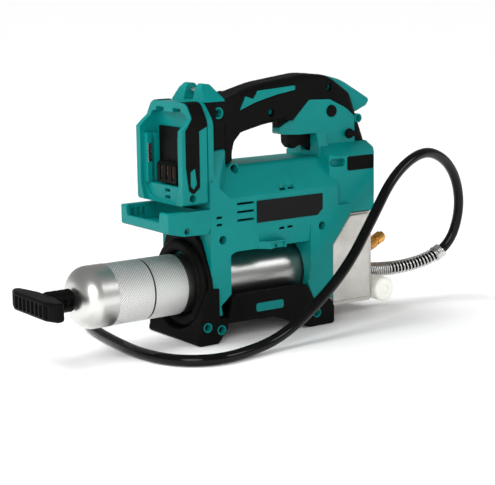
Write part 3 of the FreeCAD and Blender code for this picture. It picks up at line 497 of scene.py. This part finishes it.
def curvePiece(name, points, kind):
    data = bpy.data.curves.new(name, "CURVE")
    data.dimensions = "3D"
    spline = data.splines.new(kind)
    spline.points.add(len(points) - 1)
    for control, point in zip(spline.points, points):
        control.co = (*point, 1)
    if kind == "NURBS":
        spline.order_u = 3
        spline.use_endpoint_u = True
        spline.resolution_u = 14
    data.use_fill_caps = True
    return newPiece(name, data)


def makeHose():
    obj = curvePiece("greaseHose", hose["route"], "NURBS")
    line = Line(obj)
    obj.data.bevel_depth = hose["radius"]
    obj.data.bevel_resolution = 10
    adopt(obj, "hose")
    return obj, line


def makeGuard(line):
    # coil laid tight near the head and opening out towards the ferrule
    points = []
    distance = guard["start"]
    angle = 0.0
    step = 2 * math.pi / guard["steps"]
    while distance < guard["end"]:
        points.append(line.ringPoint(distance, guard["coilRadius"], angle))
        blend = min(max((distance - guard["tightEnd"]) / 0.004, 0), 1)
        pitch = guard["tightPitch"] + (guard["openPitch"] - guard["tightPitch"]) * blend
        distance += pitch / guard["steps"]
        angle += step
    obj = curvePiece("hoseSpring", points, "POLY")
    obj.data.bevel_depth = guard["wireRadius"]
    obj.data.bevel_resolution = 3
    adopt(obj, "spring_guard")
    return obj


def turnedAlong(name, line, profile, sides):
    # closed profile of (distance, radius) pairs turned round the line
    mesh = bpy.data.meshes.new(name)
    shape = bmesh.new()
    rings = []
    angles = [2 * math.pi * i / sides for i in range(sides)]
    for distance, radius in profile:
        rings.append([shape.verts.new(line.ringPoint(distance, radius, angle)) for angle in angles])
    for inner, outer in zip(rings, rings[1:] + rings[:1]):
        for i in range(sides):
            j = (i + 1) % sides
            shape.faces.new((inner[i], inner[j], outer[j], outer[i]))
    bmesh.ops.recalc_face_normals(shape, faces=shape.faces)
    shape.to_mesh(mesh)
    shape.free()
    return newPiece(name, mesh)


def makeFerrule(line):
    start = guard["end"] - 0.001
    end = start + ferrule["length"]
    outer, lip, inner = ferrule["outer"], ferrule["lip"], hose["radius"] + 0.0001
    profile = [(start, inner + 0.0024), (start, lip - 0.0003), (start + 0.0004, lip), (start + 0.0016, lip),
               (start + 0.0020, outer)]
    for groove in ferrule["grooves"]:
        middle = start + groove
        profile += [(middle - 0.0005, outer), (middle, outer - 0.0004), (middle + 0.0005, outer)]
    profile += [(end - 0.0012, outer), (end - 0.0003, outer - 0.0006), (end, outer - 0.0014), (end, inner)]
    obj = turnedAlong("ferruleSleeve", line, profile, ferrule["sides"])
    for face in obj.data.polygons:
        face.use_smooth = True
    obj.data.set_sharp_from_angle(angle=math.radians(35))
    adopt(obj, "hose_ferrule")
    return obj


hoseObject, hoseLine = makeHose()
springObject = makeGuard(hoseLine)
ferruleObject = makeFerrule(hoseLine)
print("hose made, line", round(hoseLine.at[-1], 3), "m")

# spring behind the follower, built as one fixed coil; on the tool it shortens against the plate as the rod
# is drawn out
followerSpring = {
    "from": -0.122, "to": 0.0524, "turns": 14, "radius": 0.020, "wireRadius": 0.0012, "steps": 32,
    "travel": 0.130,  # how far the rod draws out
}


def makeFollowerSpring():
    start = followerSpring["from"] + followerSpring["wireRadius"]
    length = followerSpring["to"] - followerSpring["wireRadius"] - start
    count = followerSpring["turns"] * followerSpring["steps"]
    points = []
    for i in range(count + 1):
        angle = 2 * math.pi * i / followerSpring["steps"]
        points.append((start + length * i / count, followerSpring["radius"] * math.sin(angle),
                       barrel["axisHeight"] + followerSpring["radius"] * math.cos(angle)))
    wire = curvePiece("wireLine", points, "POLY")
    wire.data.bevel_depth = followerSpring["wireRadius"]
    wire.data.bevel_resolution = 3
    evaluated = wire.evaluated_get(bpy.context.evaluated_depsgraph_get())
    obj = newPiece("followerSpring", bpy.data.meshes.new_from_object(evaluated))
    bpy.data.objects.remove(wire)
    for face in obj.data.polygons:
        face.use_smooth = True
    adopt(obj, "follower_spring")
    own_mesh(obj)


makeFollowerSpring()
print("follower spring made")

# rubber and soft mouldings: the node's own shape with its edges rolled over
softened = {
    "grip_cover": {"name": "gripCover", "voxel": 0.0010, "passes": 8},
    "rear_foot": {"name": "rearFoot", "voxel": 0.0010, "passes": 5},
    "base_cradle": {"name": "baseCradle", "voxel": 0.0010, "passes": 5},
    "tee_handle": {"name": "teeHandle", "voxel": 0.0006, "passes": 6},
    "trigger": {"name": "triggerLever", "voxel": 0.0005, "passes": 8},
    "speed_selector": {"name": "speedLever", "voxel": 0.0003, "passes": 6},
}


def rollEdges(node, name, voxel, passes):
    obj = nodes[node].copy()
    obj.data = nodes[node].data.copy()
    obj.name = name
    obj.parent = None
    obj.matrix_world = Matrix.Identity(4)
    obj.animation_data_clear()
    bpy.context.collection.objects.link(obj)
    obj.data.materials.clear()
    shape = bmesh.new()
    shape.from_mesh(obj.data)
    bmesh.ops.remove_doubles(shape, verts=shape.verts, dist=1e-6)
    shape.to_mesh(obj.data)
    shape.free()
    remesh = obj.modifiers.new("voxels", "REMESH")
    remesh.mode = "VOXEL"
    remesh.voxel_size = voxel
    smooth = obj.modifiers.new("roll", "SMOOTH")
    smooth.factor = 0.5
    smooth.iterations = passes
    evaluated = obj.evaluated_get(bpy.context.evaluated_depsgraph_get())
    mesh = bpy.data.meshes.new_from_object(evaluated)
    obj.modifiers.clear()
    obj.data = mesh
    mesh.materials.clear()
    for face in mesh.polygons:
        face.use_smooth = True
    adopt(obj, node)


for node, how in softened.items():
    rollEdges(node, how["name"], how["voxel"], how["passes"])
print("soft mouldings made:", len(softened))
